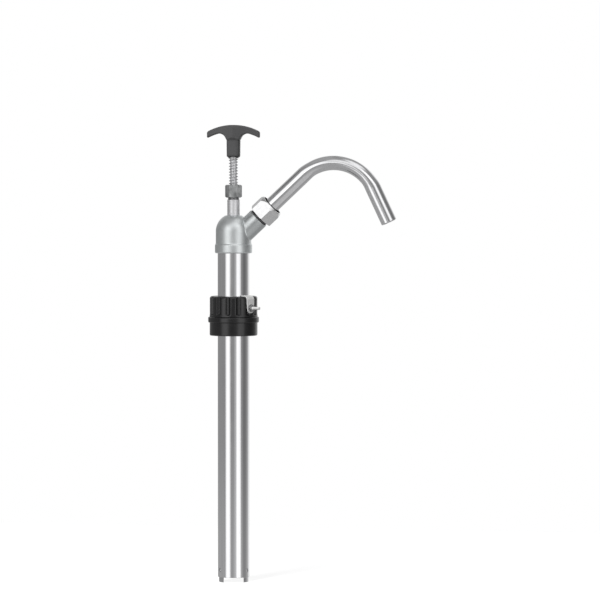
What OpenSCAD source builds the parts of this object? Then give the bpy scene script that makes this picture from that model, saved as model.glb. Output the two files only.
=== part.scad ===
// Hand-operated drum pump: a lift pump with a T-handle, a swivelling goose-neck spout
// and a sliding two-inch bung adapter. Millimetres, +Z up along the suction tube.
// The origin is on the tube's axis, at the adapter's seat on the drum; +X is the spout's way.

/* [Suction tube] */
// Outside diameter of the suction tube
tube_d = 38; // [34:0.5:42]
// Wall of the suction tube
tube_wall = 1.2; // [0.8:0.1:2]
// Depth of the feet below the drum's bung seat
immersion = 312; // [240:2:1000]

/* [Pump head] */
// Height of the head's lower edge above the bung seat
head_z = 83.7; // [60:0.5:160]
// Metal that the head's rim stands outside the tube, on each side
rim_wall = 3.1; // [2.6:0.1:6]
// Height of the rim band
rim_h = 9.7; // [6:0.1:14]
// Step in from the rim band to the dome's body
rim_step = 0.85; // [0.5:0.05:2]
// Height of the dome's centre above the head's lower edge
dome_up = 25.6; // [22:0.1:34]
// Depth of the socket that takes the tube's top end
socket_depth = 15; // [10:0.5:18]
// Drop of the flat on the dome that seats the gland neck
dome_flat_drop = 1.75; // [1.4:0.05:3]

/* [Gland] */
// Piston rod diameter
rod_d = 8; // [6:0.5:9]
// Gland neck diameter
neck_d = 15; // [14:0.5:18]
// Plain length of the gland neck
neck_l = 18.4; // [12:0.1:26]
// Bare thread left between the neck and the gland nut
neck_thread_gap = 2.4; // [1.5:0.1:5]
// Gland nut size across its flats
gland_af = 17.5; // [17:0.5:24]
// Gland nut height
gland_h = 15.5; // [14:0.5:20]

/* [Outlet] */
// Height of the crossing of the branch's and the tube's axes, above the head's lower edge
branch_up = 12.8; // [8:0.1:16]
// Rise of the branch above the horizontal
branch_angle = 43.25; // [38:0.25:50]
// Branch diameter
branch_d = 26; // [25:0.5:28]
// Length of the branch from the tube's axis to its shoulder
branch_l = 42; // [40:0.5:50]
// Bare thread left between the branch and the union nut
branch_thread_gap = 3.1; // [1:0.1:4]
// Union nut size across its flats
union_af = 29.5; // [27:0.5:32]
// Union nut length
union_l = 19.5; // [17:0.5:24]
// Spout tube diameter
spout_d = 19; // [16:0.5:20.5]
// Wall of the spout tube
spout_wall = 1.4; // [1:0.1:2]
// Distance along the branch from the tube's axis to the start of the bend
spout_run = 117.5; // [100:0.5:150]
// Centre-line radius of the bend
bend_r = 53; // [42:1:60]
// Angle of the bend
bend_angle = 108; // [95:1:125]
// Straight length at the spout's end
spout_end = 44.5; // [30:0.5:70]

/* [T-handle] */
// Width across the handle's arms
handle_w = 64; // [56:1:80]
// Thickness of each arm
arm_t = 7.8; // [6:0.2:9]
// Radius of the arched top
arch_r = 67; // [52:1:75]
// Height of the handle above the buffer washer
handle_h = 38.8; // [36:0.2:48]
// Depth of the grip at its middle ridge
grip_depth = 16; // [13.5:0.5:18]
// Depth of the grip at its tips
tip_depth = 9; // [8:0.5:12]
// Stem width at its lower end
stem_w = 14.6; // [13:0.2:18]
// Stem width where it meets the arms
stem_w_top = 15.2; // [14:0.2:19]
// Stem depth
stem_depth = 12.4; // [11:0.2:13.4]
// Fillet between stem and arm
arm_fillet = 9; // [6:0.5:10]

/* [Buffer spring] */
// Wire diameter
wire_d = 1.2; // [0.8:0.1:1.4]
// Height of the spring at rest
spring_h = 31.6; // [26:0.1:40]
// Full-pitch turns between the closed ends
spring_turns = 8; // [6:1:9]
// Thickness of the washer on the spring
buffer_washer_t = 1.2; // [0.8:0.1:2]
// How far the spring gives when the handle is driven down
buffer_travel = 12; // [6:0.5:14]

/* [Bung adapter] */
// Major diameter of the bung thread (G 2)
thread_d = 59.6; // [58.5:0.1:60.5]
// Length of the bung thread
thread_l = 15.6; // [14:0.2:24]
// Diameter of the seating flange
flange_d = 61; // [60.5:0.5:72]
// Thickness of the seating flange
flange_h = 6.8; // [5:0.2:10]
// Diameter of the ribbed clamp cap
cap_d = 57.6; // [56.6:0.2:62]
// Height of the ribbed clamp cap
cap_h = 24.8; // [22:0.2:32]
// Number of hand ribs on the cap
cap_ribs = 14; // [10:1:18]
// Rounding of the cap's top edge
cap_round = 3; // [2:0.5:4]

/* [Earth terminal] */
// Place of the lug round the cap, from +X
lug_angle = -36; // [-90:1:0]
// Width of the lug
lug_w = 11.4; // [9:0.2:13]
// Thickness of the lug
lug_t = 1.2; // [0.8:0.1:2]
// Height of the lug's leg
lug_h = 21; // [17:0.5:21]
// Diameter of the terminal stud
stud_d = 4; // [3:0.5:5]
// Length of the stud outside the lug
stud_out = 15; // [11:0.5:20]

/* [Piston] */
// Height of the piston's lower flange
piston_flange_h = 4; // [3:0.2:6]
// Height of the piston's hub above the flange
piston_hub_h = 8; // [6.5:0.5:12]
// Number of ports through the piston
piston_ports = 6; // [4:1:6]
// Diameter of each port
port_d = 4.8; // [3:0.2:5]
// Thickness of the piston's valve plate
plate_t = 2; // [1.5:0.1:3]
// Lift of the piston's valve plate
plate_lift = 5; // [3:0.5:7]

/* [Foot valve] */
// Height of the feet below the tube
foot_h = 6; // [5:0.2:10]
// Width of the slot milled across the feet
foot_slot = 24; // [18:0.5:26]
// Turn of the slot about the tube's axis
foot_turn = 10; // [-30:1:30]
// Diameter of the valve ball
ball_d = 20; // [18:0.5:21]
// Lift of the valve ball
ball_lift = 6; // [4:0.5:8]
// Diameter of the inlet hole
inlet_d = 13; // [10:0.5:13]
// Height of the rivets above the tube's lower end
rivet_up = 8.5; // [6:0.5:9]
// Diameter of a rivet's shank
rivet_d = 3.2; // [2.4:0.2:3.6]

/* [Fits] */
// Radial clearance of a running or sliding fit
run_gap = 0.06; // [0.03:0.01:0.09]
// Radial clearance round a part that only passes through
pass_gap = 0.4; // [0.3:0.05:0.6]
// Radial clearance between pieces fixed to each other
fix_gap = 0.05; // [0.02:0.01:0.1]

/* [Hidden] */
$fn = 96;
cut = 1;                    // how far a cutter runs past the face it opens
valve_gap = 0.15;           // gap between the ball and its seat at rest

tube_r = tube_d / 2;
tube_ri = tube_r - tube_wall;
tube_bottom = foot_h - immersion;
seal_t = 1.5;
tube_top = head_z + socket_depth - seal_t;

rim_r = tube_r + rim_wall;
head_r = rim_r - rim_step;
dome_z = head_z + dome_up;
head_wall = 3.75;
chamber_r = head_r - head_wall;
head_top = dome_z + head_r - dome_flat_drop;

neck_thread_step = 0.6;     // step from the plain neck down to its thread
neck_spigot_step = 1.6;     // step from the plain neck down to the spigot in the dome
neck_inside = 2.5;          // length of that spigot inside the chamber
box_wall = 1.15;            // metal left round the packing box
packing_up = 0.8;           // height of the box's floor above the plain neck
follower_room = 0.3;        // travel left for taking up the packing
rod_r = rod_d / 2;
neck_r = neck_d / 2;
neck_thread_r = neck_r - neck_thread_step;
neck_spigot_r = neck_r - neck_spigot_step;
neck_top = head_top + neck_l;
gland_z = neck_top + neck_thread_gap;
gland_top = gland_z + gland_h;
gland_turn = 10;
gland_plate = 3.7;          // metal of the nut above the follower
box_r = neck_thread_r - box_wall;
packing_rings = 3;
packing_h = 3;
packing_slit = 0.1;         // gap between two packing rings
packing_z = neck_top + packing_up;
follower_flange = 1.5;
follower_z = packing_z + packing_rings * packing_h;
neck_end = gland_top - gland_plate - follower_flange - follower_room;
hex_chamfer = [1.1, 0.55];  // how far a nut's corners are turned off, inwards and along

branch_z = head_z + branch_up;
branch_r = branch_d / 2;
branch_thread_step = 1;      // step from the branch down to its thread
branch_thread_r = branch_r - branch_thread_step;
spout_r = spout_d / 2;
spout_ri = spout_r - spout_wall;
nut_s = branch_l + branch_thread_gap;
nut_end = nut_s + union_l;
nut_plate = 2.3;            // metal of the union nut beyond the collar
union_chamfer = [4, 5];     // the same on the union nut's outer end
union_end_r = union_af / 2 / cos(30) - union_chamfer[0];
nut_recess = 2;             // depth of the turned recess in the nut's outer end
nut_recess_rim = 1.8;       // metal left round that recess
collar_t = 2.5;
spout_seal_t = 1.2;
collar_s = nut_end - nut_recess - nut_plate - collar_t;
branch_end = collar_s - spout_seal_t;
spout_in = 8.5;             // length of spout inside the branch
spout_draw = 0.05;          // how much finer the spout's end is
spout_lap = 0.5;            // how far that end starts inside the bend
spout_s = branch_end - spout_in;
union_turn = 46;
collar_r = branch_thread_r - pass_gap;
spout_floor = 0.5;          // room left below the spout's inner end
seal_slip = 0.1;            // clearance of the seal round the spout

spring_z = gland_top;
spring_gap = 0.3;           // clearance between wire and rod
spring_r = rod_r + spring_gap + wire_d / 2;
spring_sides = 6;
spring_rings = 12;          // rings of the tube in each turn
spring_end_gap = 0.6;       // gap between the wires of a closed end
spring_end_pitch = wire_d + spring_end_gap;
spring_end_turns = 0.75;
washer_z = spring_z + spring_h;
washer_edge = 0.8;          // washer seen outside the spring
washer_r = spring_r + wire_d / 2 + washer_edge;
handle_z = washer_z + buffer_washer_t;
handle_top = handle_z + handle_h;
arch_z = handle_top - arch_r;
fillet_x = stem_w_top / 2 + arm_fillet;
fillet_reach = arch_r - arm_fillet;
fillet_z = arch_z - arm_t + sqrt(pow(fillet_reach, 2) - pow(fillet_x, 2));
fillet_turn = asin(fillet_x / fillet_reach);
rod_in_handle = 24;
rod_hole_over = 0.5;        // depth of the handle's hole past the rod's end
stem_round = 2.5;

thread_r = thread_d / 2;
flange_r = flange_d / 2;
cap_r = cap_d / 2;
cap_z = flange_h;
cap_top = cap_z + cap_h;
cap_plate = 3.6;            // thickness of the cap's top
spigot_wall = 3.8;          // wall of the adapter's neck inside the cap
grip_room = 6.9;            // height of the grip ring's room between that neck and the cap's top
grip_lip = 0.5;             // flat left round the neck's cone
grip_slack = 0.2;           // end clearance of the grip ring
adapter_r = tube_r + pass_gap;
spigot_r = adapter_r + spigot_wall;
spigot_top = cap_top - cap_plate - grip_room;
grip_r = spigot_r - grip_lip;
groove_r = 2.1;
groove_depth = 1.3;
groove_turn = 7.5;          // turn of the groove pattern from one that is even about the lug
groove_foot = 2.4;          // plain band left under the ribs
thread_chamfer = 1.6;
ring_d = 2.6;               // section of the tube's sealing ring
ring_z = flange_h / 2;

lug_r = cap_r;
lug_tip_r = lug_w * 0.36;
lug_taper = 8;              // height of the tapering part above the round end's centre
lug_bend = 0.8;             // inside radius of the bend over the cap
stud_up = 2;                // height of the stud above the round end's centre
stud_z = cap_top + lug_t - lug_h + lug_tip_r + stud_up;
terminal_washer_t = 0.8;
terminal_nut_t = 3.2;
stud_back = 1.05;           // cap left between the stud's root and the neck
stud_in = cap_r - spigot_r - stud_back;
stud_past_nut = 0.8;        // thread showing outside the nut
stud_step = 0.4;            // how much finer the plain clip end is
terminal_chamfer = [0.5, 0.25];

rod_end_d = rod_d - 2;
rod_end_r = rod_end_d / 2;
plunger_nut_h = 5;
plunger_washer_t = 1.5;
plunger_washer_edge = 0.6;  // washer left outside the guide bush's radius
plunger_chamfer = [0.6, 0.3];
rod_thread_out = 1;
guide_wall = 2.4;           // wall of the valve plate's guide bush
guide_r = rod_end_r + guide_wall;
stop_t = 1.5;
hub_gap = 4.4;              // room for the cup between hub and tube
piston_hub_r = tube_ri - hub_gap;
plate_edge = 0.4;           // how far the valve plate stops short of the hub's edge
plate_slip = 0.3;           // clearance of the plate round its guide
plate_room = 0.5;           // room left above the plate's lift
port_ring_r = (guide_r + piston_hub_r) / 2;
cup_t = 1.6;
cup_base = 2;
cup_lip = 8.5;
spreader_h = 3;

foot_step = 0.4;            // how far the feet stand inside the tube's outside
foot_flange_r = tube_r - foot_step;
slot_over = 0.4;            // how far the slot runs up past the tube's end
plug_r = tube_ri - fix_gap;
ball_r = ball_d / 2;
inlet_r = inlet_d / 2;
cage_gap = 2;               // room round the ball in its cage
cage_r = ball_r + cage_gap;
seat_up = 8;                // height of the ball's seat above the tube's lower end
seat_z = tube_bottom + seat_up;
ball_z = seat_z - inlet_r + (ball_r + valve_gap) * sqrt(2);
stop_d = 3;
stop_room = 0.3;            // room left above the ball's lift
stop_z = ball_z + ball_r + ball_lift + stop_d / 2 + stop_room;
stop_short = 0.75;          // how far each end of the stop pin stays inside the insert
foot_rim = 3;               // insert above the stop pin
foot_top = stop_z + stop_d / 2 + foot_rim;
foot_ring_d = 2.2;
foot_ring_up = 6;           // height of the ring's groove above the ball's centre
foot_ring_z = ball_z + foot_ring_up;
rivet_head_r = rivet_d * 0.85;
rivet_head_h = 0.9;
rivet_in = 4;
rivet_root = 0.1;           // how far the shank runs up into the head
rivet_count = 3;
rivet_z = tube_bottom + rivet_up;

foot_clear = 4;             // room left under the piston when the buffer is driven in
piston_z = foot_top + buffer_travel + foot_clear;
plunger_nut_z = piston_z + rod_thread_out;
plunger_washer_z = plunger_nut_z + plunger_nut_h;
body_z = plunger_washer_z + plunger_washer_t;
cup_z = body_z + piston_flange_h;
plate_z = cup_z + piston_hub_h;
stop_washer_z = plate_z + plate_t + plate_lift + plate_room;
rod_shoulder = stop_washer_z + stop_t;

// Shared shapes

module ring(r_in, r_out, h) {
    difference() {
        cylinder(r = r_out, h = h);
        translate([0, 0, -cut]) cylinder(r = r_in, h = h + 2 * cut);
    }
}

module round_ring(r, d) {
    rotate_extrude() translate([r, 0]) circle(d = d);
}

// Hexagon bar whose corners are turned off at its foot and top, each by [inwards, along].
module hex_bar(af, h, foot, top) {
    corner = af / 2 / cos(30);
    intersection() {
        cylinder(r = corner, h = h, $fn = 6);
        rotate_extrude() polygon([
            [0, 0], [corner - foot[0], 0], [corner, foot[1]],
            [corner, h - top[1]], [corner - top[0], h], [0, h]]);
    }
}

module on_branch(s) {
    translate([0, 0, branch_z]) rotate([0, 90 - branch_angle, 0]) translate([0, 0, s]) children();
}

// Carries a shape that points along +Z to the earth terminal, pointing away from the cap.
module on_terminal(r) {
    rotate([0, 0, lug_angle]) translate([r, 0, stud_z]) rotate([0, 90, 0]) children();
}

module at_rivets() {
    for (i = [0 : rivet_count - 1])
        rotate([0, 0, foot_turn + 90 + i * 360 / rivet_count])
            translate([0, 0, rivet_z]) rotate([0, 90, 0]) children();
}

// Bung adapter, fixed in the drum

module bung_body() {
    color("dimgray") difference() {
        rotate_extrude() polygon([
            [adapter_r, -thread_l], [thread_r - thread_chamfer, -thread_l],
            [thread_r, -thread_l + thread_chamfer], [thread_r, 0], [flange_r, 0],
            [flange_r, flange_h], [spigot_r, flange_h], [spigot_r, spigot_top],
            [grip_r, spigot_top], [adapter_r, spigot_top - (grip_r - adapter_r)]]);
        translate([0, 0, ring_z]) round_ring(tube_r + run_gap + ring_d / 2, ring_d + 2 * run_gap);
    }
}

module tube_ring() {
    color("black") translate([0, 0, ring_z]) round_ring(tube_r + run_gap + ring_d / 2, ring_d);
}

module clamp_cap() {
    skirt_r = spigot_r + fix_gap;
    color("dimgray") difference() {
        rotate_extrude() difference() {
            union() {
                square([cap_r, cap_top - cap_round]);
                square([cap_r - cap_round, cap_top]);
                translate([cap_r - cap_round, cap_top - cap_round]) circle(r = cap_round);
            }
            square([cap_r + cut, cap_z]);
            square([skirt_r, cap_top - cap_plate]);
            square([adapter_r, cap_top + cut]);
        }
        for (i = [0 : cap_ribs - 1])
            rotate([0, 0, (i + 0.5) * 360 / cap_ribs + lug_angle + groove_turn])
                translate([cap_r + groove_r - groove_depth, 0, cap_z + groove_foot])
                    cylinder(r = groove_r, h = cap_h);
        on_terminal(cap_r - stud_in) cylinder(d = stud_d + 2 * fix_gap, h = stud_in + cut);
    }
}

module grip_ring() {
    top = cap_top - cap_plate - grip_slack;
    foot = spigot_top + grip_slack;
    edge = foot - (grip_r - adapter_r);
    color("gray") rotate_extrude() polygon([
        [tube_r + run_gap, edge + pass_gap], [adapter_r, edge],
        [grip_r, foot], [grip_r, top], [tube_r + run_gap, top]]);
}

module earth_lug() {
    bend = lug_t + lug_bend;
    bend_x = lug_r + lug_t - bend;
    bend_z = cap_top + lug_t - bend;
    color("silver") difference() {
        rotate([0, 0, lug_angle]) intersection() {
            rotate([90, 0, 0]) linear_extrude(height = lug_w, center = true) difference() {
                union() {
                    translate([tube_r + pass_gap, cap_top])
                        square([bend_x - tube_r - pass_gap, lug_t]);
                    translate([lug_r, cap_top + lug_t - lug_h]) square([lug_t, lug_h - bend]);
                    translate([bend_x, bend_z]) intersection() {
                        circle(r = bend);
                        square(bend);
                    }
                }
                translate([bend_x, bend_z]) circle(r = bend - lug_t);
            }
            rotate([0, 90, 0]) linear_extrude(height = lug_r + lug_t + cut) rotate(90) lug_face();
        }
        on_terminal(lug_r - cut) cylinder(d = stud_d + 2 * fix_gap, h = lug_t + 2 * cut);
    }
}

// Front of the lug, y up from the drum's seat: straight above the stud, tapering to a round end.
module lug_face() {
    tip_z = cap_top + lug_t - lug_h + lug_tip_r;
    lean = atan(lug_w / 2 / lug_taper) + acos(lug_tip_r / norm([lug_w / 2, lug_taper])) - 90;
    translate([-lug_w / 2, tip_z + lug_taper]) square([lug_w, lug_h]);
    translate([0, tip_z]) circle(r = lug_tip_r);
    polygon([
        [-lug_tip_r * cos(lean), tip_z - lug_tip_r * sin(lean)],
        [lug_tip_r * cos(lean), tip_z - lug_tip_r * sin(lean)],
        [lug_w / 2, tip_z + lug_taper], [-lug_w / 2, tip_z + lug_taper]]);
}

module earth_stud() {
    threaded = stud_in - fix_gap + lug_t + terminal_washer_t + terminal_nut_t + stud_past_nut;
    whole = stud_in - fix_gap + lug_t + stud_out;
    color("silver") on_terminal(lug_r - stud_in + fix_gap) union() {
        cylinder(d = stud_d, h = threaded);
        cylinder(d = stud_d - stud_step, h = whole);
    }
}

module earth_washer() {
    color("silver") on_terminal(lug_r + lug_t)
        ring(stud_d / 2 + fix_gap, stud_d * 1.12, terminal_washer_t);
}

module earth_nut() {
    color("silver") on_terminal(lug_r + lug_t + terminal_washer_t) difference() {
        hex_bar(stud_d * 1.75, terminal_nut_t, terminal_chamfer, terminal_chamfer);
        translate([0, 0, -cut]) cylinder(d = stud_d + 2 * fix_gap, h = terminal_nut_t + 2 * cut);
    }
}

// Barrel: tube, head, gland and foot

module suction_tube() {
    color("gainsboro") difference() {
        translate([0, 0, tube_bottom]) ring(tube_ri, tube_r, tube_top - tube_bottom);
        at_rivets() cylinder(d = rivet_d + 2 * fix_gap, h = tube_r + cut);
    }
}

module pump_head() {
    color("lightgray") difference() {
        union() {
            rotate_extrude() head_outline();
            on_branch(0) cylinder(r = branch_r, h = branch_l);
            on_branch(0) cylinder(r = branch_thread_r, h = branch_end);
        }
        rotate_extrude() head_hollow();
        on_branch(0) cylinder(r = spout_ri, h = branch_end);
        on_branch(spout_s - spout_floor)
            cylinder(r = spout_r + run_gap, h = spout_in + spout_floor + cut);
        translate([0, 0, dome_z]) cylinder(r = neck_spigot_r + fix_gap, h = head_r);
    }
}

module head_outline() {
    translate([0, head_z]) square([rim_r, rim_h]);
    translate([0, head_z]) square([head_r, dome_up]);
    translate([0, dome_z]) intersection() {
        circle(r = head_r);
        square([head_r, head_top - dome_z]);
    }
}

module head_hollow() {
    translate([0, head_z - cut]) square([tube_r + fix_gap, socket_depth + cut]);
    translate([0, head_z + socket_depth - cut]) square([chamber_r, dome_up - socket_depth + cut]);
    translate([0, dome_z]) intersection() {
        circle(r = chamber_r);
        square(chamber_r);
    }
}

module head_seal() {
    color("black") translate([0, 0, tube_top]) ring(tube_ri - fix_gap, tube_r, seal_t);
}

module gland_neck() {
    spigot_l = head_top - dome_z - chamber_r + neck_inside;
    color("whitesmoke") difference() {
        union() {
            translate([0, 0, head_top - spigot_l]) cylinder(r = neck_spigot_r, h = spigot_l + cut);
            translate([0, 0, head_top]) cylinder(r = neck_r, h = neck_l);
            translate([0, 0, head_top]) cylinder(r = neck_thread_r, h = neck_end - head_top);
        }
        translate([0, 0, head_top - spigot_l - cut])
            cylinder(r = rod_r + pass_gap, h = neck_end - head_top + spigot_l + 2 * cut);
        translate([0, 0, packing_z]) cylinder(r = box_r, h = neck_end - packing_z + cut);
    }
}

module gland_packing() {
    color("white") for (i = [0 : packing_rings - 1])
        translate([0, 0, packing_z + i * packing_h])
            ring(rod_r + run_gap, box_r - fix_gap, packing_h - packing_slit);
}

module gland_follower() {
    color("goldenrod") difference() {
        union() {
            translate([0, 0, follower_z])
                cylinder(r = box_r - fix_gap, h = gland_top - gland_plate - follower_z);
            translate([0, 0, gland_top - gland_plate - follower_flange])
                cylinder(r = neck_thread_r - fix_gap, h = follower_flange);
        }
        translate([0, 0, follower_z - cut])
            cylinder(r = rod_r + run_gap, h = gland_top - follower_z + cut);
    }
}

module gland_nut() {
    color("silver") difference() {
        translate([0, 0, gland_z]) rotate([0, 0, gland_turn])
            hex_bar(gland_af, gland_h, hex_chamfer, hex_chamfer);
        translate([0, 0, gland_z - cut])
            cylinder(r = neck_thread_r + fix_gap, h = gland_h - gland_plate + cut);
        translate([0, 0, gland_z]) cylinder(r = rod_r + pass_gap, h = gland_h + cut);
    }
}

module union_nut() {
    color("silver") on_branch(nut_s) difference() {
        rotate([0, 0, union_turn]) hex_bar(union_af, union_l, hex_chamfer, union_chamfer);
        translate([0, 0, -cut])
            cylinder(r = branch_thread_r + fix_gap, h = union_l - nut_recess - nut_plate + cut);
        cylinder(r = spout_r + pass_gap, h = union_l + cut);
        translate([0, 0, union_l - nut_recess])
            cylinder(r = union_end_r - nut_recess_rim, h = nut_recess + cut);
    }
}

module spout_seal() {
    color("white") on_branch(branch_end) ring(spout_r + seal_slip, branch_thread_r - fix_gap, spout_seal_t);
}

module foot_valve_body() {
    groove_h = foot_ring_d * 1.2;
    color("silver") difference() {
        rotate_extrude() polygon([
            [inlet_r, -immersion], [foot_flange_r, -immersion], [foot_flange_r, tube_bottom],
            [plug_r, tube_bottom], [plug_r, foot_ring_z], [plug_r - foot_ring_d * 0.85, foot_ring_z],
            [plug_r - foot_ring_d * 0.85, foot_ring_z + groove_h], [plug_r, foot_ring_z + groove_h],
            [plug_r, foot_top], [cage_r, foot_top], [cage_r, seat_z + cage_r - inlet_r],
            [inlet_r, seat_z]]);
        rotate([0, 0, foot_turn]) translate([-foot_slot / 2, -tube_r, -immersion - cut])
            cube([foot_slot, 2 * tube_r, foot_h + slot_over + cut]);
        at_rivets() translate([0, 0, tube_ri - rivet_in - fix_gap])
            cylinder(d = rivet_d + 2 * fix_gap, h = tube_r);
        translate([0, 0, stop_z]) rotate([0, 90, foot_turn])
            cylinder(d = stop_d + 2 * fix_gap, h = 2 * tube_r, center = true);
    }
}

module foot_ring() {
    color("black") translate([0, 0, foot_ring_z + foot_ring_d * 0.6])
        round_ring(plug_r - foot_ring_d * 0.4, foot_ring_d * 0.8);
}

module foot_rivets() {
    ball = (pow(rivet_head_r, 2) + pow(rivet_head_h, 2)) / (2 * rivet_head_h);
    color("silver") at_rivets() {
        translate([0, 0, tube_ri - rivet_in]) cylinder(d = rivet_d, h = rivet_in + tube_wall + rivet_root);
        intersection() {
            translate([0, 0, tube_r + rivet_head_h - ball]) sphere(r = ball);
            translate([0, 0, tube_r]) cylinder(r = rivet_head_r + cut, h = rivet_head_h + cut);
        }
    }
}

module ball_stop() {
    color("silver") translate([0, 0, stop_z]) rotate([0, 90, foot_turn])
        cylinder(d = stop_d, h = 2 * (plug_r - stop_short), center = true);
}

module valve_ball() {
    color("silver") translate([0, 0, ball_z]) sphere(r = ball_r);
}

// Spout, which turns in the branch when the union nut is slack

// The straight end is drawn a touch finer than the bend and starts just inside it.
module spout_path(r, past) {
    on_branch(0) {
        translate([0, 0, spout_s - past]) cylinder(r = r, h = spout_run - spout_s + past);
        translate([bend_r, 0, spout_run]) rotate([90, 0, 0]) mirror([1, 0, 0]) {
            rotate_extrude(angle = bend_angle) translate([bend_r, 0]) circle(r = r);
            rotate([0, 0, bend_angle]) translate([bend_r, 0, 0]) rotate([-90, 0, 0])
                translate([0, 0, -spout_lap])
                    cylinder(r = r - spout_draw, h = spout_end + spout_lap + past);
        }
    }
}

module spout_tube() {
    color("gainsboro") difference() {
        spout_path(spout_r, 0);
        spout_path(spout_ri, cut);
    }
}

module spout_collar() {
    color("silver") on_branch(collar_s) ring(spout_r + fix_gap, collar_r, collar_t);
}

// Buffer spring, one unbroken wire: a slow closed end, full-pitch turns, a slow closed end

function spring_rise(t, all, lead, pitch) =
    t < lead ? t * spring_end_pitch :
    t > all - lead ? lead * spring_end_pitch + (all - 2 * lead) * pitch
                     + (t - all + lead) * spring_end_pitch :
    lead * spring_end_pitch + (t - lead) * pitch;

spring_all = spring_turns + 2 * spring_end_turns;
spring_pitch = (spring_h - wire_d - 2 * spring_end_turns * spring_end_pitch) / spring_turns;
spring_path = [for (i = [0 : spring_all * spring_rings])
    let (t = i / spring_rings, a = 360 * t)
    [spring_r * cos(a), spring_r * sin(a),
     spring_z + wire_d / 2 + spring_rise(t, spring_all, spring_end_turns, spring_pitch)]];
spring_least_gap = min([for (i = [0 : len(spring_path) - spring_rings])
    for (k = [spring_rings - 2 : spring_rings + 2])
        if (i + k < len(spring_path)) norm(spring_path[i + k] - spring_path[i])]) - wire_d;
echo(spring_least_gap = spring_least_gap);

module buffer_spring() {
    last = len(spring_path) - 1;
    points = [for (i = [0 : last], j = [0 : spring_sides - 1])
        let (a = 360 * i / spring_rings, b = 360 * (j + 0.5) / spring_sides,
             out = wire_d / 2 / cos(180 / spring_sides) * cos(b),
             up = wire_d / 2 / cos(180 / spring_sides) * sin(b))
        spring_path[i] + [out * cos(a), out * sin(a), up]];
    sides = [for (i = [0 : last - 1], j = [0 : spring_sides - 1])
        let (p = i * spring_sides + j, q = i * spring_sides + (j + 1) % spring_sides)
        each [[p, p + spring_sides, q], [q, p + spring_sides, q + spring_sides]]];
    caps = [for (j = [1 : spring_sides - 2])
        let (e = last * spring_sides)
        each [[0, j, j + 1], [e, e + j + 1, e + j]]];
    color("silver") polyhedron(points, concat(sides, caps));
}

module buffer_washer() {
    color("silver") translate([0, 0, washer_z]) ring(rod_r + pass_gap, washer_r, buffer_washer_t);
}

// Plunger: handle, rod and piston

module t_handle() {
    color("dimgray") difference() {
        intersection() {
            rotate([90, 0, 0]) linear_extrude(height = 2 * grip_depth, center = true) handle_face();
            union() {
                translate([0, 0, fillet_z]) linear_extrude(height = handle_h) polygon([
                    [-handle_w / 2 - cut, -tip_depth / 2], [0, -grip_depth / 2],
                    [handle_w / 2 + cut, -tip_depth / 2], [handle_w / 2 + cut, tip_depth / 2],
                    [0, grip_depth / 2], [-handle_w / 2 - cut, tip_depth / 2]]);
                translate([0, 0, handle_z - cut]) linear_extrude(height = fillet_z - handle_z + 2 * cut)
                    stem_plan();
            }
        }
        translate([0, 0, handle_z - cut])
            cylinder(r = rod_r + fix_gap, h = rod_in_handle + rod_hole_over + cut);
    }
}

module stem_plan() {
    x = stem_w_top / 2 - stem_round;
    y = stem_depth / 2 - stem_round;
    square([2 * x, stem_depth], center = true);
    square([stem_w_top, 2 * y], center = true);
    for (i = [-1, 1], j = [-1, 1]) translate([i * x, j * y]) circle(r = stem_round);
}

// Arms between two like arcs, cut off square at the tips, and a stem run into them by fillets.
module handle_face() {
    intersection() {
        difference() {
            translate([0, arch_z]) circle(r = arch_r);
            translate([0, arch_z - arm_t]) circle(r = arch_r);
        }
        translate([-handle_w / 2, handle_z]) square([handle_w, handle_h]);
    }
    polygon([
        [-stem_w / 2, handle_z], [stem_w / 2, handle_z],
        [stem_w_top / 2, fillet_z], [stem_w_top / 2, handle_top - arm_t],
        [-stem_w_top / 2, handle_top - arm_t], [-stem_w_top / 2, fillet_z]]);
    for (side = [0, 1]) mirror([side, 0]) difference() {
        polygon([
            [-cut, fillet_z], [fillet_x, fillet_z],
            [arch_r * sin(fillet_turn), arch_z - arm_t / 2 + arch_r * cos(fillet_turn)],
            [-cut, handle_top - arm_t / 2]]);
        translate([fillet_x, fillet_z]) circle(r = arm_fillet);
    }
}

module piston_rod() {
    color("gainsboro") union() {
        translate([0, 0, rod_shoulder]) cylinder(r = rod_r, h = handle_z + rod_in_handle - rod_shoulder);
        translate([0, 0, piston_z]) cylinder(r = rod_end_r, h = rod_shoulder - piston_z + cut);
    }
}

module piston_body() {
    color("white") difference() {
        union() {
            translate([0, 0, body_z]) cylinder(r = tube_ri - pass_gap, h = piston_flange_h);
            translate([0, 0, body_z]) cylinder(r = piston_hub_r, h = piston_flange_h + piston_hub_h);
        }
        translate([0, 0, body_z - cut])
            cylinder(r = rod_end_r + fix_gap, h = piston_flange_h + piston_hub_h + 2 * cut);
        for (i = [0 : piston_ports - 1])
            rotate([0, 0, i * 360 / piston_ports]) translate([port_ring_r, 0, body_z - cut])
                cylinder(d = port_d, h = piston_flange_h + piston_hub_h + 2 * cut);
    }
}

module piston_cup() {
    color("white") translate([0, 0, cup_z]) difference() {
        cylinder(r = tube_ri - run_gap, h = cup_lip);
        translate([0, 0, -cut]) cylinder(r = piston_hub_r + fix_gap, h = cup_lip + 2 * cut);
        translate([0, 0, cup_base]) cylinder(r = tube_ri - run_gap - cup_t, h = cup_lip);
    }
}

module cup_spreader() {
    color("silver") translate([0, 0, cup_z + cup_base])
        ring(piston_hub_r + fix_gap, tube_ri - run_gap - cup_t - fix_gap, spreader_h);
}

module valve_plate() {
    color("white") translate([0, 0, plate_z])
        ring(guide_r + plate_slip, piston_hub_r - plate_edge, plate_t);
}

module plate_guide() {
    color("silver") translate([0, 0, plate_z])
        ring(rod_end_r + fix_gap, guide_r, stop_washer_z - plate_z);
}

module plate_stop() {
    color("silver") translate([0, 0, stop_washer_z])
        ring(rod_end_r + fix_gap, port_ring_r, stop_t);
}

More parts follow.
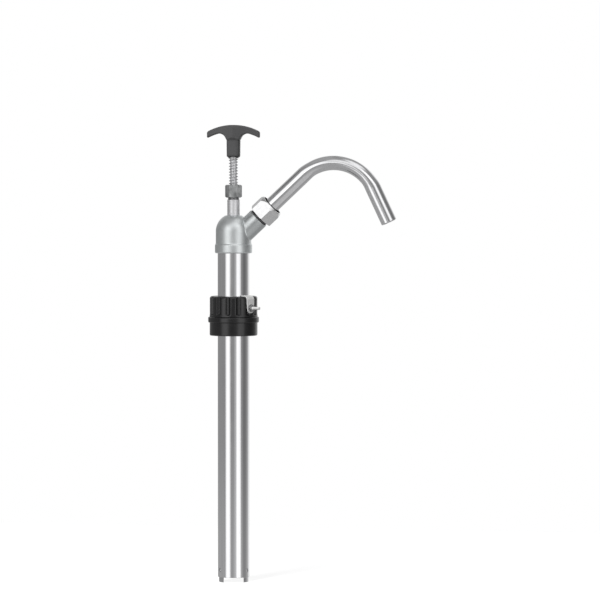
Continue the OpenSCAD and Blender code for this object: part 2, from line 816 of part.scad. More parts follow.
module plunger_washer() {
    color("silver") translate([0, 0, plunger_washer_z])
        ring(rod_end_r + fix_gap, guide_r + plunger_washer_edge, plunger_washer_t);
}

module plunger_nut() {
    color("silver") translate([0, 0, plunger_nut_z]) difference() {
        hex_bar(rod_end_d * 1.7, plunger_nut_h, plunger_chamfer, plunger_chamfer);
        translate([0, 0, -cut]) cylinder(r = rod_end_r + fix_gap, h = plunger_nut_h + 2 * cut);
    }
}

bung_body();
clamp_cap();
earth_lug();
earth_stud();
earth_washer();
earth_nut();
tube_ring();
grip_ring();
suction_tube();
pump_head();
head_seal();
gland_neck();
gland_packing();
gland_follower();
gland_nut();
union_nut();
spout_seal();
foot_valve_body();
foot_ring();
foot_rivets();
ball_stop();
valve_ball();
spout_tube();
spout_collar();
buffer_spring();
buffer_washer();
t_handle();
piston_rod();
piston_body();
piston_cup();
cup_spreader();
plate_guide();
plate_stop();
plunger_washer();
plunger_nut();
valve_plate();
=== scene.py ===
"""A hand-operated drum pump: polished suction tube, satin cast head with a goose-neck spout,
gland and buffer spring under a T-handle, and a black bung adapter with an earth terminal."""
import math

import bmesh
import bpy
import numpy as np
from mathutils import Matrix, Vector


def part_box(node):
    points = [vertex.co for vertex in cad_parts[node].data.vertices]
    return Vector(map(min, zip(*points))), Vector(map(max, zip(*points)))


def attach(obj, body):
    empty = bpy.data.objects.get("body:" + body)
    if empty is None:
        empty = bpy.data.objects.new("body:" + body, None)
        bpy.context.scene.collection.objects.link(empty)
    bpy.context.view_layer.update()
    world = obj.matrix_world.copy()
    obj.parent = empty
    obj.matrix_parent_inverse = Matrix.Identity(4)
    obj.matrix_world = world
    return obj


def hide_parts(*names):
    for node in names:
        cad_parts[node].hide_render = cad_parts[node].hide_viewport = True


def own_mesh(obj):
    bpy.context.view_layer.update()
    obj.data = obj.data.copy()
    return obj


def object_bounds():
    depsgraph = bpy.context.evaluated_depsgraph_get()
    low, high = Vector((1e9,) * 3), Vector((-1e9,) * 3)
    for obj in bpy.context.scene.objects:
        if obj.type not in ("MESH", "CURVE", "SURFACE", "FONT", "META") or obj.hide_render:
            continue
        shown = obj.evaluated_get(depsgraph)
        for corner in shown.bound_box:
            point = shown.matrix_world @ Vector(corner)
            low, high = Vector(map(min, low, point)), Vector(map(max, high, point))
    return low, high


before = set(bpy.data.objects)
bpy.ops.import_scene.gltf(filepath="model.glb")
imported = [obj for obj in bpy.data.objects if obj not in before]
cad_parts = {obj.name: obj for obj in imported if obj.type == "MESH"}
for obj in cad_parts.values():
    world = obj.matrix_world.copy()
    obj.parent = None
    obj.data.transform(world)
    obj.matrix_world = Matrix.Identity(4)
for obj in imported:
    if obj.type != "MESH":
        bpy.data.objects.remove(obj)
solid_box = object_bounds()

# The room is a white cove where the pump stands on its feet, seen from far off through a long
# lens. The floor shows white and keeps the pump's shadow.
scene = bpy.context.scene
scene.view_settings.view_transform = "Standard"
view_turn = math.radians(10.0)
view_rise = math.radians(2.2)
view_distance = 5.0
picture_width = 0.72
aim_across, aim_up = 0.07968, 0.0268
across = Vector((math.cos(view_turn), math.sin(view_turn), 0.0))
towards = Vector((math.sin(view_turn) * math.cos(view_rise),
                  -math.cos(view_turn) * math.cos(view_rise), math.sin(view_rise)))
lens = bpy.data.cameras.new("camera")
lens.sensor_width = 36.0
lens.lens = lens.sensor_width * view_distance / picture_width
camera = bpy.data.objects.new("camera", lens)
camera.location = across * aim_across + Vector((0.0, 0.0, aim_up)) + towards * view_distance
camera.rotation_euler = towards.to_track_quat("Z", "Y").to_euler()
scene.collection.objects.link(camera)
scene.camera = camera


def join(tree, source, target):
    tree.links.new(source, target)


def seen_directly(tree):
    """One for rays from the lens, off a shiny face or through glass, and none for soft light."""
    path = tree.nodes.new("ShaderNodeLightPath")
    first = tree.nodes.new("ShaderNodeMath")
    second = tree.nodes.new("ShaderNodeMath")
    first.operation = second.operation = "ADD"
    second.use_clamp = True
    join(tree, path.outputs["Is Camera Ray"], first.inputs[0])
    join(tree, path.outputs["Is Glossy Ray"], first.inputs[1])
    join(tree, first.outputs[0], second.inputs[0])
    join(tree, path.outputs["Is Transmission Ray"], second.inputs[1])
    return second.outputs[0]


room = bpy.data.worlds.new("room")
room.use_nodes = True
scene.world = room
sky = room.node_tree.nodes["Background"]
sky.inputs["Color"].default_value = (1.0, 1.0, 1.0, 1.0)
level = room.node_tree.nodes.new("ShaderNodeMapRange")
level.inputs["To Min"].default_value = 0.06
level.inputs["To Max"].default_value = 1.0
join(room.node_tree, seen_directly(room.node_tree), level.inputs["Value"])
join(room.node_tree, level.outputs["Result"], sky.inputs["Strength"])


def stage_piece(name, shape, material):
    mesh = bpy.data.meshes.new(name)
    shape.to_mesh(mesh)
    shape.free()
    mesh.materials.append(material)
    piece = bpy.data.objects.new(name, mesh)
    scene.collection.objects.link(piece)
    return piece


floor_paint = bpy.data.materials.new("floor_paint")
floor_paint.use_nodes = True
paint = floor_paint.node_tree
paint.nodes.clear()
matt = paint.nodes.new("ShaderNodeBsdfDiffuse")
whiteness = paint.nodes.new("ShaderNodeMapRange")
whiteness.inputs["To Min"].default_value = 0.22
whiteness.inputs["To Max"].default_value = 0.92
glow = paint.nodes.new("ShaderNodeEmission")
glow.inputs["Strength"].default_value = 1.88
both = paint.nodes.new("ShaderNodeMixShader")
share = paint.nodes.new("ShaderNodeMapRange")
share.inputs["To Max"].default_value = 0.45
direct = seen_directly(paint)
join(paint, direct, whiteness.inputs["Value"])
join(paint, whiteness.outputs["Result"], matt.inputs["Color"])
join(paint, direct, share.inputs["Value"])
join(paint, share.outputs["Result"], both.inputs[0])
join(paint, matt.outputs[0], both.inputs[1])
join(paint, glow.outputs[0], both.inputs[2])
join(paint, both.outputs[0], paint.nodes.new("ShaderNodeOutputMaterial").inputs["Surface"])
floor_half = 0.7
floor_shape = bmesh.new()
bmesh.ops.create_grid(floor_shape, x_segments=1, y_segments=1, size=floor_half,
                      matrix=Matrix.Translation((0.0, 0.0, solid_box[0][2])))
floor = stage_piece("floor", floor_shape, floor_paint)
floor.visible_glossy = False

# Polished metal sees a grey dome with soft light panels: tall ones at the front left and right,
# paler ones above and behind, and a dark strip at the right that draws the tube's edge. Three
# lamps, which shiny faces don't see, light the plastic and the floor.
dome_paint = bpy.data.materials.new("dome_paint")
dome_paint.use_nodes = True
paint = dome_paint.node_tree
paint.nodes.clear()
place = paint.nodes.new("ShaderNodeTexCoord")
way = paint.nodes.new("ShaderNodeVectorMath")
way.operation = "NORMALIZE"
level_way = paint.nodes.new("ShaderNodeVectorMath")
level_way.operation = "MULTIPLY"
level_way.inputs[1].default_value = (1.0, 1.0, 0.0)
bearing_way = paint.nodes.new("ShaderNodeVectorMath")
bearing_way.operation = "NORMALIZE"
height = paint.nodes.new("ShaderNodeSeparateXYZ")
join(paint, place.outputs["Object"], way.inputs[0])
join(paint, way.outputs["Vector"], level_way.inputs[0])
join(paint, level_way.outputs["Vector"], bearing_way.inputs[0])
join(paint, way.outputs["Vector"], height.inputs[0])


def soft_step(value, start, end, reach):
    """Nothing before the start, the whole reach past the end, and a smooth run between."""
    step = paint.nodes.new("ShaderNodeMapRange")
    step.interpolation_type = "SMOOTHSTEP"
    step.inputs["From Min"].default_value = start
    step.inputs["From Max"].default_value = end
    step.inputs["To Max"].default_value = reach
    join(paint, value, step.inputs["Value"])
    return step.outputs["Result"]


def worked(operation, first, second):
    node = paint.nodes.new("ShaderNodeMath")
    node.operation = operation
    join(paint, first, node.inputs[0])
    join(paint, second, node.inputs[1])
    return node.outputs[0]


def light_panel(right_of_lens, full_half, faded_half, lowest, highest, brightness):
    """A soft-edged panel on the dome, its place, halves and heights in degrees."""
    bearing = math.radians(right_of_lens - 90.0) + view_turn
    facing = paint.nodes.new("ShaderNodeVectorMath")
    facing.operation = "DOT_PRODUCT"
    facing.inputs[1].default_value = (math.cos(bearing), math.sin(bearing), 0.0)
    join(paint, bearing_way.outputs["Vector"], facing.inputs[0])
    aside = soft_step(facing.outputs["Value"], math.cos(math.radians(faded_half)),
                      math.cos(math.radians(full_half)), brightness)
    above = soft_step(height.outputs["Z"], math.sin(math.radians(lowest - 6.0)),
                      math.sin(math.radians(lowest + 6.0)), 1.0)
    below = soft_step(height.outputs["Z"], math.sin(math.radians(highest + 8.0)),
                      math.sin(math.radians(highest - 8.0)), 1.0)
    return worked("MULTIPLY", worked("MULTIPLY", aside, above), below)


wall_tone = paint.nodes.new("ShaderNodeValue")
wall_tone.outputs[0].default_value = 0.30
floor_tone = soft_step(height.outputs["Z"], -0.08, -0.22, 0.12)
tone = worked("ADD", wall_tone.outputs[0], floor_tone)
panels = {"front left": (-41.5, 2.0, 23.0, -18.0, 40.0, 1.02),
          "front right": (37.0, 2.0, 22.0, -20.0, 44.0, 0.98),
          "low beside the front right": (18.0, 0.0, 18.0, -26.0, 2.0, 0.20),
          "high beside the front left": (-21.0, 6.0, 18.0, 4.0, 26.0, 0.80),
          "front, above the lens": (8.0, 20.0, 45.0, 30.0, 58.0, 0.75),
          "overhead": (0.0, 170.0, 179.0, 55.0, 88.0, 0.12),
          "overhead at the right": (60.0, 25.0, 55.0, 56.0, 84.0, 0.65),
          "behind at the right": (155.0, 6.0, 38.0, -15.0, 40.0, 0.62),
          "behind at the left": (-168.0, 8.0, 44.0, 12.0, 44.0, 0.28),
          "dark strip at the right": (86.0, 4.0, 22.0, -60.0, 34.0, -0.12),
          "low at the right": (45.0, 20.0, 55.0, -60.0, -22.0, 0.16)}
for panel in panels.values():
    tone = worked("ADD", tone, light_panel(*panel))
glow = paint.nodes.new("ShaderNodeEmission")
join(paint, tone, glow.inputs["Strength"])
join(paint, glow.outputs[0], paint.nodes.new("ShaderNodeOutputMaterial").inputs["Surface"])
dome_reach = 3.0
dome_shape = bmesh.new()
bmesh.ops.create_uvsphere(dome_shape, u_segments=64, v_segments=32, radius=dome_reach)
dome = stage_piece("dome", dome_shape, dome_paint)
dome.visible_camera = dome.visible_diffuse = dome.visible_shadow = False
dome.visible_transmission = dome.visible_volume_scatter = False

lamp_tall = 1.6
lamps = [("left_panel", -30.0, 0.9, 2.3, 0.8, 46.0), ("right_panel", 85.0, 0.7, 2.3, 0.7, 10.0),
         ("top_panel", -10.0, 2.6, 0.9, 1.4, 10.0)]
for lamp_name, aside, height_up, reach, width, power in lamps:
    light = bpy.data.lights.new(lamp_name, "AREA")
    light.shape = "RECTANGLE"
    light.size = width
    light.size_y = lamp_tall
    light.energy = power
    lamp = bpy.data.objects.new(lamp_name, light)
    bearing = math.radians(aside - 90.0) + view_turn
    lamp.location = (reach * math.cos(bearing), reach * math.sin(bearing), height_up)
    lamp.rotation_euler = Vector(lamp.location).to_track_quat("Z", "Y").to_euler()
    lamp.visible_glossy = False
    scene.collection.objects.link(lamp)

# The suction tube is stainless steel tube, 38 mm outside, drawn, polished lengthwise and cut
# square at both ends. Its top is pressed into the head's socket against a seal.
MM = 0.001


def noise_mask_group():
    """A soft random pattern between two values, at a given grain size."""
    group = bpy.data.node_groups.new("noise_mask", "ShaderNodeTree")
    for socket, kind in [("Vector", "NodeSocketVector"), ("Scale", "NodeSocketFloat"),
                         ("Detail", "NodeSocketFloat"), ("Low", "NodeSocketFloat"),
                         ("High", "NodeSocketFloat")]:
        group.interface.new_socket(name=socket, in_out="INPUT", socket_type=kind)
    group.interface.new_socket(name="Mask", in_out="OUTPUT", socket_type="NodeSocketFloat")
    ins = group.nodes.new("NodeGroupInput")
    outs = group.nodes.new("NodeGroupOutput")
    noise = group.nodes.new("ShaderNodeTexNoise")
    spread = group.nodes.new("ShaderNodeMapRange")
    spread.inputs["From Min"].default_value = 0.3
    spread.inputs["From Max"].default_value = 0.7
    join(group, ins.outputs["Vector"], noise.inputs["Vector"])
    join(group, ins.outputs["Scale"], noise.inputs["Scale"])
    join(group, ins.outputs["Detail"], noise.inputs["Detail"])
    join(group, noise.outputs["Fac"], spread.inputs["Value"])
    join(group, ins.outputs["Low"], spread.inputs["To Min"])
    join(group, ins.outputs["High"], spread.inputs["To Max"])
    join(group, spread.outputs["Result"], outs.inputs["Mask"])
    return group


noise_mask = noise_mask_group()


def add_mask(tree, vector, scale, detail, low, high):
    node = tree.nodes.new("ShaderNodeGroup")
    node.node_tree = noise_mask
    node.inputs["Scale"].default_value = scale
    node.inputs["Detail"].default_value = detail
    node.inputs["Low"].default_value = low
    node.inputs["High"].default_value = high
    join(tree, vector, node.inputs["Vector"])
    return node.outputs["Mask"]


def finish(name, pale, dark, roughness, stretch, bump, metallic=1.0, cloud=70.0, depth=0.00004,
           specular=0.5):
    """A surface whose colour and relief follow a fine grain, stretched along the way it was
    worked, and whose gloss wanders in soft clouds."""
    material = bpy.data.materials.new(name)
    material.use_nodes = True
    tree = material.node_tree
    shader = tree.nodes["Principled BSDF"]
    shader.inputs["Metallic"].default_value = metallic
    shader.inputs["Specular IOR Level"].default_value = specular
    place = tree.nodes.new("ShaderNodeTexCoord").outputs["Object"]
    grain_place = tree.nodes.new("ShaderNodeMapping")
    grain_place.inputs["Scale"].default_value = stretch
    join(tree, place, grain_place.inputs["Vector"])
    grain = add_mask(tree, grain_place.outputs["Vector"], 1.0, 4.0, 0.0, 1.0)
    shade = tree.nodes.new("ShaderNodeMix")
    shade.data_type = "RGBA"
    shade.inputs["A"].default_value = (*dark, 1.0)
    shade.inputs["B"].default_value = (*pale, 1.0)
    join(tree, grain, shade.inputs["Factor"])
    join(tree, shade.outputs["Result"], shader.inputs["Base Color"])
    join(tree, add_mask(tree, place, cloud, 3.0, *roughness), shader.inputs["Roughness"])
    relief = tree.nodes.new("ShaderNodeBump")
    relief.inputs["Strength"].default_value = bump
    relief.inputs["Distance"].default_value = depth
    join(tree, grain, relief.inputs["Height"])
    join(tree, relief.outputs["Normal"], shader.inputs["Normal"])
    return material


def size_of(node):
    """Outside radius, lower end and upper end of a solid on the pump's axis, in millimetres."""
    low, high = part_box(node)
    return round(high[1] / MM, 1), round(low[2] / MM, 2), round(high[2] / MM, 2)


def turned(outline, turn_steps=128):
    """A lathe-turned shape: corners (radius, height, rounding) in millimetres round a closed
    outline, whose marked corners are rounded before it is spun about the pump's axis."""
    shape = bmesh.new()
    corners = [shape.verts.new((r * MM, 0.0, z * MM)) for r, z, _ in outline]
    shape.faces.new(corners)
    for corner, (_, _, rounding) in zip(corners, outline):
        if rounding:
            bmesh.ops.bevel(shape, geom=[corner], offset=rounding * MM, offset_type="OFFSET",
                            affect="VERTICES", segments=5, profile=0.5, material=-1)
    bmesh.ops.delete(shape, geom=shape.faces[:], context="FACES_ONLY")
    bmesh.ops.spin(shape, geom=shape.verts[:] + shape.edges[:], cent=(0.0, 0.0, 0.0),
                   axis=(0.0, 0.0, 1.0), angle=2.0 * math.pi, steps=turn_steps, use_merge=True)
    bmesh.ops.remove_doubles(shape, verts=shape.verts[:], dist=1e-7)
    bmesh.ops.recalc_face_normals(shape, faces=shape.faces[:])
    return shape


def fit(name, shape, material, body, slot, *nodes, crease=34.0, edge=0.0, others=()):
    """Makes the shape a finished piece on its body, in the place of the solids it stands for."""
    bmesh.ops.remove_doubles(shape, verts=shape.verts[:], dist=1e-7)
    bmesh.ops.recalc_face_normals(shape, faces=shape.faces[:])
    mesh = bpy.data.meshes.new(name)
    shape.to_mesh(mesh)
    shape.free()
    mesh.shade_smooth()
    mesh.set_sharp_from_angle(angle=math.radians(crease))
    for surface in (material, *others):
        mesh.materials.append(surface)
    piece = bpy.data.objects.new(name, mesh)
    scene.collection.objects.link(piece)
    if edge:
        soften = piece.modifiers.new("softened_edges", "BEVEL")
        soften.width = edge * MM
        soften.segments = 3
        soften.limit_method = "ANGLE"
        soften.angle_limit = math.radians(32.0)
    even = piece.modifiers.new("even_faces", "WEIGHTED_NORMAL")
    even.keep_sharp = True
    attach(piece, body)
    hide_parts(*nodes)
    return piece


polished_steel = finish("polished_steel", (0.80, 0.80, 0.81), (0.72, 0.72, 0.735), (0.09, 0.15),
                        (900.0, 900.0, 5.0), 0.05)
tube_radius, tube_foot, tube_top = size_of("suction_tube")
tube_wall = 1.2
tube_inside = tube_radius - tube_wall
fit("drawn_tube", turned([(tube_inside, tube_foot, 0.2), (tube_radius, tube_foot, 0.35),
                          (tube_radius, tube_top, 0.2), (tube_inside, tube_top, 0.2)], 160),
    polished_steel, "barrel", "polished_tube", "suction_tube")

# The foot insert is turned from steel bar: a plug with the ball's seat, riveted into the tube,
# and below the tube a flange milled across, so that liquid enters between its two feet.
turned_steel = finish("turned_steel", (0.66, 0.66, 0.67), (0.56, 0.56, 0.57), (0.22, 0.32),
                      (160.0, 160.0, 2600.0), 0.12)


def combine(base, other, operation):
    """The first shape with the second cut from it, kept to it, or added to it."""
    blanks = []
    for shape in (base, other):
        mesh = bpy.data.meshes.new("blank")
        shape.to_mesh(mesh)
        shape.free()
        blanks.append(bpy.data.objects.new("blank", mesh))
        scene.collection.objects.link(blanks[-1])
    step = blanks[0].modifiers.new("cut", "BOOLEAN")
    step.operation = operation
    step.solver = "EXACT"
    step.object = blanks[1]
    result = bmesh.new()
    result.from_object(blanks[0], bpy.context.evaluated_depsgraph_get())
    for blank in blanks:
        mesh = blank.data
        bpy.data.objects.remove(blank)
        bpy.data.meshes.remove(mesh)
    return result


flange_radius, feet, plug_top = size_of("foot_valve_body")
close_fit = 0.05
plug_radius = tube_inside - close_fit
inlet_radius, cage_radius, seat = 6.5, 12.0, tube_foot + 8.0
cage_foot = seat + cage_radius - inlet_radius
slot_wide, slot_over = 24.0, 0.4
foot = turned([(inlet_radius, feet, 0.6), (flange_radius, feet, 0.5), (flange_radius, tube_foot, 0.0),
               (plug_radius, tube_foot, 0.0), (plug_radius, plug_top, 0.4),
               (cage_radius, plug_top, 0.4), (cage_radius, cage_foot, 0.0), (inlet_radius, seat, 0.0)])
slot_cut = bmesh.new()
slot_tall = 2.0 * (tube_foot + slot_over - feet)
bmesh.ops.create_cube(slot_cut, size=1.0, matrix=Matrix.Rotation(view_turn, 4, "Z")
                      @ Matrix.Translation((0.0, 0.0, feet * MM))
                      @ Matrix.Diagonal((slot_wide * MM, 3.0 * tube_radius * MM, slot_tall * MM, 1.0)))
fit("foot_insert", combine(foot, slot_cut, "DIFFERENCE"), turned_steel, "barrel", "turned_steel",
    "foot_valve_body")

# Three steel rivets with low domed heads hold the insert in the tube, evenly round it.
rivet_ball, rivet_proud, rivet_up = 4.56, 0.9, 8.5


def add(shape, other):
    """Puts the second shape into the first one's mesh."""
    mesh = bpy.data.meshes.new("added")
    other.to_mesh(mesh)
    other.free()
    shape.from_mesh(mesh)
    bpy.data.meshes.remove(mesh)
    return shape


rivets = bmesh.new()
for rivet in range(3):
    head = bmesh.new()
    bmesh.ops.create_uvsphere(
        head, u_segments=40, v_segments=40, radius=rivet_ball * MM,
        matrix=Matrix.Translation((0.0, 0.0, (tube_radius + rivet_proud - rivet_ball) * MM)))
    bmesh.ops.bisect_plane(head, geom=head.verts[:] + head.edges[:] + head.faces[:],
                           plane_co=(0.0, 0.0, (tube_radius - 0.1) * MM), plane_no=(0.0, 0.0, 1.0),
                           clear_inner=True)
    bmesh.ops.holes_fill(head, edges=head.edges[:])
    bmesh.ops.transform(head, verts=head.verts[:], matrix=(
        Matrix.Rotation(view_turn + math.radians(90.0 + 120.0 * rivet), 4, "Z")
        @ Matrix.Translation((0.0, 0.0, (tube_foot + rivet_up) * MM))
        @ Matrix.Rotation(math.radians(90.0), 4, "Y")))
    add(rivets, head)
fit("rivet_heads", rivets, turned_steel, "barrel", "turned_steel", "foot_rivets")

# The bung adapter is moulded in black plastic: a two-inch pipe thread for the drum's bung, a
# seating flange and, inside the cap, a coned neck for the grip ring.
black_plastic = finish("black_plastic", (0.008, 0.008, 0.0085), (0.004, 0.004, 0.0045), (0.18, 0.28),
                       (1500.0, 1500.0, 1500.0), 0.2, metallic=0.0, specular=0.6)


def thread(root, crest, pitch, low, high, chamfer, sides=72):
    """A screw thread, wound from one ridge section, whose halves are parts of the pitch, and
    turned down to its two ends."""
    ridge = bmesh.new()
    turns = int((high - low) / pitch) + 2
    base = low - pitch
    sunk, proud = 0.3, 0.1
    sunk_half, root_half, crest_half = 0.46, 0.42, 0.07
    section = [(root - sunk, -sunk_half), (root, -root_half), (crest + proud, -crest_half),
               (crest + proud, crest_half), (root, root_half), (root - sunk, sunk_half)]
    ridge.faces.new([ridge.verts.new((r * MM, 0.0, (base + up * pitch) * MM)) for r, up in section])
    bmesh.ops.spin(ridge, geom=ridge.verts[:] + ridge.edges[:] + ridge.faces[:], cent=(0.0, 0.0, 0.0),
                   axis=(0.0, 0.0, 1.0), dvec=(0.0, 0.0, pitch / sides * MM),
                   angle=2.0 * math.pi * turns, steps=turns * sides)
    bmesh.ops.recalc_face_normals(ridge, faces=ridge.faces[:])
    sleeve_inside = root - 0.2
    sleeve = turned([(sleeve_inside, low, 0.0), (crest - chamfer, low, 0.0),
                     (crest, low + chamfer, 0.0), (crest, high, 0.0), (sleeve_inside, high, 0.0)], sides)
    return combine(ridge, sleeve, "INTERSECT")


seat_radius, thread_foot, neck_rim = size_of("bung_body")
bung_pitch, bung_crest, bung_deep = 2.309, 29.8, 1.1
bung_root = bung_crest - bung_deep
flange_top, bore, neck_outside = 6.8, tube_radius + 0.4, 23.2
cone_outside = neck_outside - 0.5
adapter = turned([(bore, thread_foot, 0.4), (bung_root - 0.3, thread_foot, 0.5),
                  (bung_root, thread_foot + 2.0, 0.0), (bung_root, 0.0, 0.0), (seat_radius, 0.0, 1.2),
                  (seat_radius, flange_top, 1.6), (neck_outside, flange_top, 0.0),
                  (neck_outside, neck_rim, 0.3), (cone_outside, neck_rim, 0.0),
                  (bore, neck_rim - cone_outside + bore, 0.0)], 160)
fit("adapter_moulding", add(adapter, thread(bung_root, bung_crest, bung_pitch, thread_foot, -0.1, 1.5)),
    black_plastic, "adapter", "black_plastic", "bung_body")

# The clamp cap is moulded in the same plastic. Hand grooves run down its side from a rounded
# top to a plain band, and turning it squeezes the grip ring on to the tube.
cap_radius, cap_foot, cap_top, cap_plate = 28.8, flange_top, 31.6, 3.6
cap_ribs, groove_depth, groove_half, rib_crown = 14, 2.5, 2.9, 0.22
groove_foot, groove_run, crown_run = 8.8, 1.8, 2.4
terminal_turn, groove_turn = math.radians(-36.0), math.radians(7.5)
rib_angle = 2.0 * math.pi / cap_ribs
cap_inside, cap_ceiling, points_a_rib = neck_outside + close_fit, cap_top - cap_plate, 32
side_rings = [(cap_radius, up, 0.0) for up in (8.6, 9.2, 9.8, 10.5, 11.4, 16.0, 22.0)]
top_rings = [(cap_radius - inwards, cap_top, 0.0) for inwards in (3.4, 4.6)]
cap = turned([(cap_inside, cap_foot, 0.0), (cap_radius, cap_foot, 0.5)] + side_rings
             + [(cap_radius, cap_top, 3.0)] + top_rings
             + [(bore, cap_top, 0.5), (bore, cap_ceiling, 0.0), (cap_inside, cap_ceiling, 0.0)],
             cap_ribs * points_a_rib)
for point in cap.verts:
    radius = math.hypot(point.co.x, point.co.y) / MM
    bearing = math.atan2(point.co.y, point.co.x) - terminal_turn - groove_turn
    off = bearing % rib_angle - rib_angle / 2.0
    sideways = abs(off) * cap_radius
    start = min(max((point.co.z / MM - groove_foot) / groove_run, 0.0), 1.0)
    start = start * start * (3.0 - 2.0 * start)
    wave = 1.0 - min(sideways / groove_half, 1.0) ** 2
    crown = rib_crown * min(max(1.0 - (sideways - groove_half) / crown_run, 0.0), 1.0) ** 2
    limit = cap_radius - start * ((groove_depth - rib_crown) * wave + crown)
    if radius > limit:
        point.co.x *= limit / radius
        point.co.y *= limit / radius
fit("cap_moulding", cap, black_plastic, "cap", "black_plastic", "clamp_cap", crease=50.0)

# The earth terminal is a plated steel lug bent over the cap's top, with a stud through it,
# a washer and a hexagon nut; a clip goes on the stud's plain end.
lug_plate = finish("lug_plate", (0.96, 0.96, 0.955), (0.89, 0.89, 0.88), (0.40, 0.52),
                   (420.0, 420.0, 420.0), 0.2, metallic=0.15)
plated_steel = finish("plated_steel", (0.54, 0.54, 0.54), (0.38, 0.38, 0.39), (0.24, 0.36),
                      (500.0, 500.0, 500.0), 0.2)
lug_thick, lug_half, lug_foot, lug_shoulder, lug_tip_half = 1.2, 5.7, 11.8, 23.9, 4.35
lug_bend, lug_inside, lug_round = 5.0, 19.5, 4.0
lug_outside = cap_radius + lug_thick
leg_top = cap_top + lug_thick - lug_bend
lug = bmesh.new()
front = [lug.verts.new((lug_outside * MM, y * MM, z * MM)) for y, z in
         [(-lug_half, leg_top), (-lug_half, lug_shoulder), (-lug_tip_half, lug_foot),
          (lug_tip_half, lug_foot), (lug_half, lug_shoulder), (lug_half, leg_top)]]
lug.faces.new(front)
bmesh.ops.bevel(lug, geom=[front[2], front[3]], offset=lug_round * MM, offset_type="OFFSET",
                affect="VERTICES", segments=10, profile=0.5, material=-1)
top_edge = [e for e in lug.edges if all(v.co.z > (leg_top - 0.01) * MM for v in e.verts)]
bent = bmesh.ops.spin(lug, geom=top_edge, cent=((lug_outside - lug_bend) * MM, 0.0, leg_top * MM),
                      axis=(0.0, 1.0, 0.0), angle=-math.pi / 2.0, steps=8)
leg_edge = [e for e in bent["geom_last"] if isinstance(e, bmesh.types.BMEdge)]
run = bmesh.ops.extrude_edge_only(lug, edges=leg_edge)
bmesh.ops.translate(lug, vec=((lug_inside - lug_outside + lug_bend) * MM, 0.0, 0.0),
                    verts=[v for v in run["geom"] if isinstance(v, bmesh.types.BMVert)])
bmesh.ops.remove_doubles(lug, verts=lug.verts[:], dist=1e-7)
bmesh.ops.recalc_face_normals(lug, faces=lug.faces[:])
if lug.faces[0].normal.dot(Vector((1.0, 0.0, 0.0))) < 0.0 and abs(lug.faces[0].normal.x) > 0.9:
    bmesh.ops.reverse_faces(lug, faces=lug.faces[:])
bmesh.ops.solidify(lug, geom=lug.faces[:], thickness=lug_thick * MM)
to_terminal = Matrix.Rotation(terminal_turn, 4, "Z")
bmesh.ops.transform(lug, verts=lug.verts[:], matrix=to_terminal)
fit("lug_pressing", lug, lug_plate, "cap", "plated_steel", "earth_lug", edge=0.18)

stud_up = 17.904
stud_radius, stud_root, stud_long, stud_thread, clip_radius = 2.0, cap_radius - 4.5, 20.7, 10.5, 1.8
washer_thick, nut_thick, nut_flats = 0.8, 3.2, 7.0


def on_terminal(shape, radius):
    """Carries a shape that points up to the terminal, pointing away from the cap."""
    bmesh.ops.transform(shape, verts=shape.verts[:], matrix=to_terminal
                        @ Matrix.Translation((radius * MM, 0.0, stud_up * MM))
                        @ Matrix.Rotation(math.radians(90.0), 4, "Y"))
    return shape


def hexagon(across_flats, length, foot, top, turn, bores):
    """A nut cut from hexagon bar, its corners turned off at foot and top by (inwards, along),
    with a stepped hole given as (radius, height) corners up the inside."""
    corner = across_flats / 2.0 / math.cos(math.radians(30.0))
    bar = bmesh.new()
    bmesh.ops.create_cone(bar, cap_ends=True, segments=6, radius1=corner * MM, radius2=corner * MM,
                          depth=length * MM, matrix=Matrix.Translation((0.0, 0.0, length / 2.0 * MM))
                          @ Matrix.Rotation(turn, 4, "Z"))
    past = 0.3
    foot_reach, top_reach = (along * (1.0 + past / inwards) for inwards, along in (foot, top))
    blank = turned([(corner - foot[0], 0.0, 0.0), (corner + past, foot_reach, 0.0),
                    (corner + past, length - top_reach, 0.0), (corner - top[0], length, 0.0)]
                   + [(r, z, 0.0) for r, z in reversed(bores)], 96)
    return combine(bar, blank, "INTERSECT")


stud_bore, stud_washer_radius, nut_chamfer = stud_radius + close_fit, 4.48, (0.6, 0.35)
stud = turned([(0.0, 0.0, 0.0), (stud_radius, 0.0, 0.0), (stud_radius, stud_thread, 0.25),
               (clip_radius, stud_thread, 0.0), (clip_radius, stud_long, 0.6),
               (0.0, stud_long, 0.0)], 48)
fit("stud", on_terminal(stud, stud_root), lug_plate, "cap", "plated_steel", "earth_stud")
stud_washer = turned([(stud_bore, 0.0, 0.1), (stud_washer_radius, 0.0, 0.15),
                      (stud_washer_radius, washer_thick, 0.15), (stud_bore, washer_thick, 0.1)], 64)
fit("stud_washer", on_terminal(stud_washer, lug_outside), plated_steel, "cap", "plated_steel",
    "earth_washer")
terminal_nut = hexagon(nut_flats, nut_thick, nut_chamfer, nut_chamfer, 0.0,
                       [(stud_bore, 0.0), (stud_bore, nut_thick)])
fit("stud_nut", on_terminal(terminal_nut, lug_outside + washer_thick), plated_steel, "cap",
    "plated_steel", "earth_nut", edge=0.12)

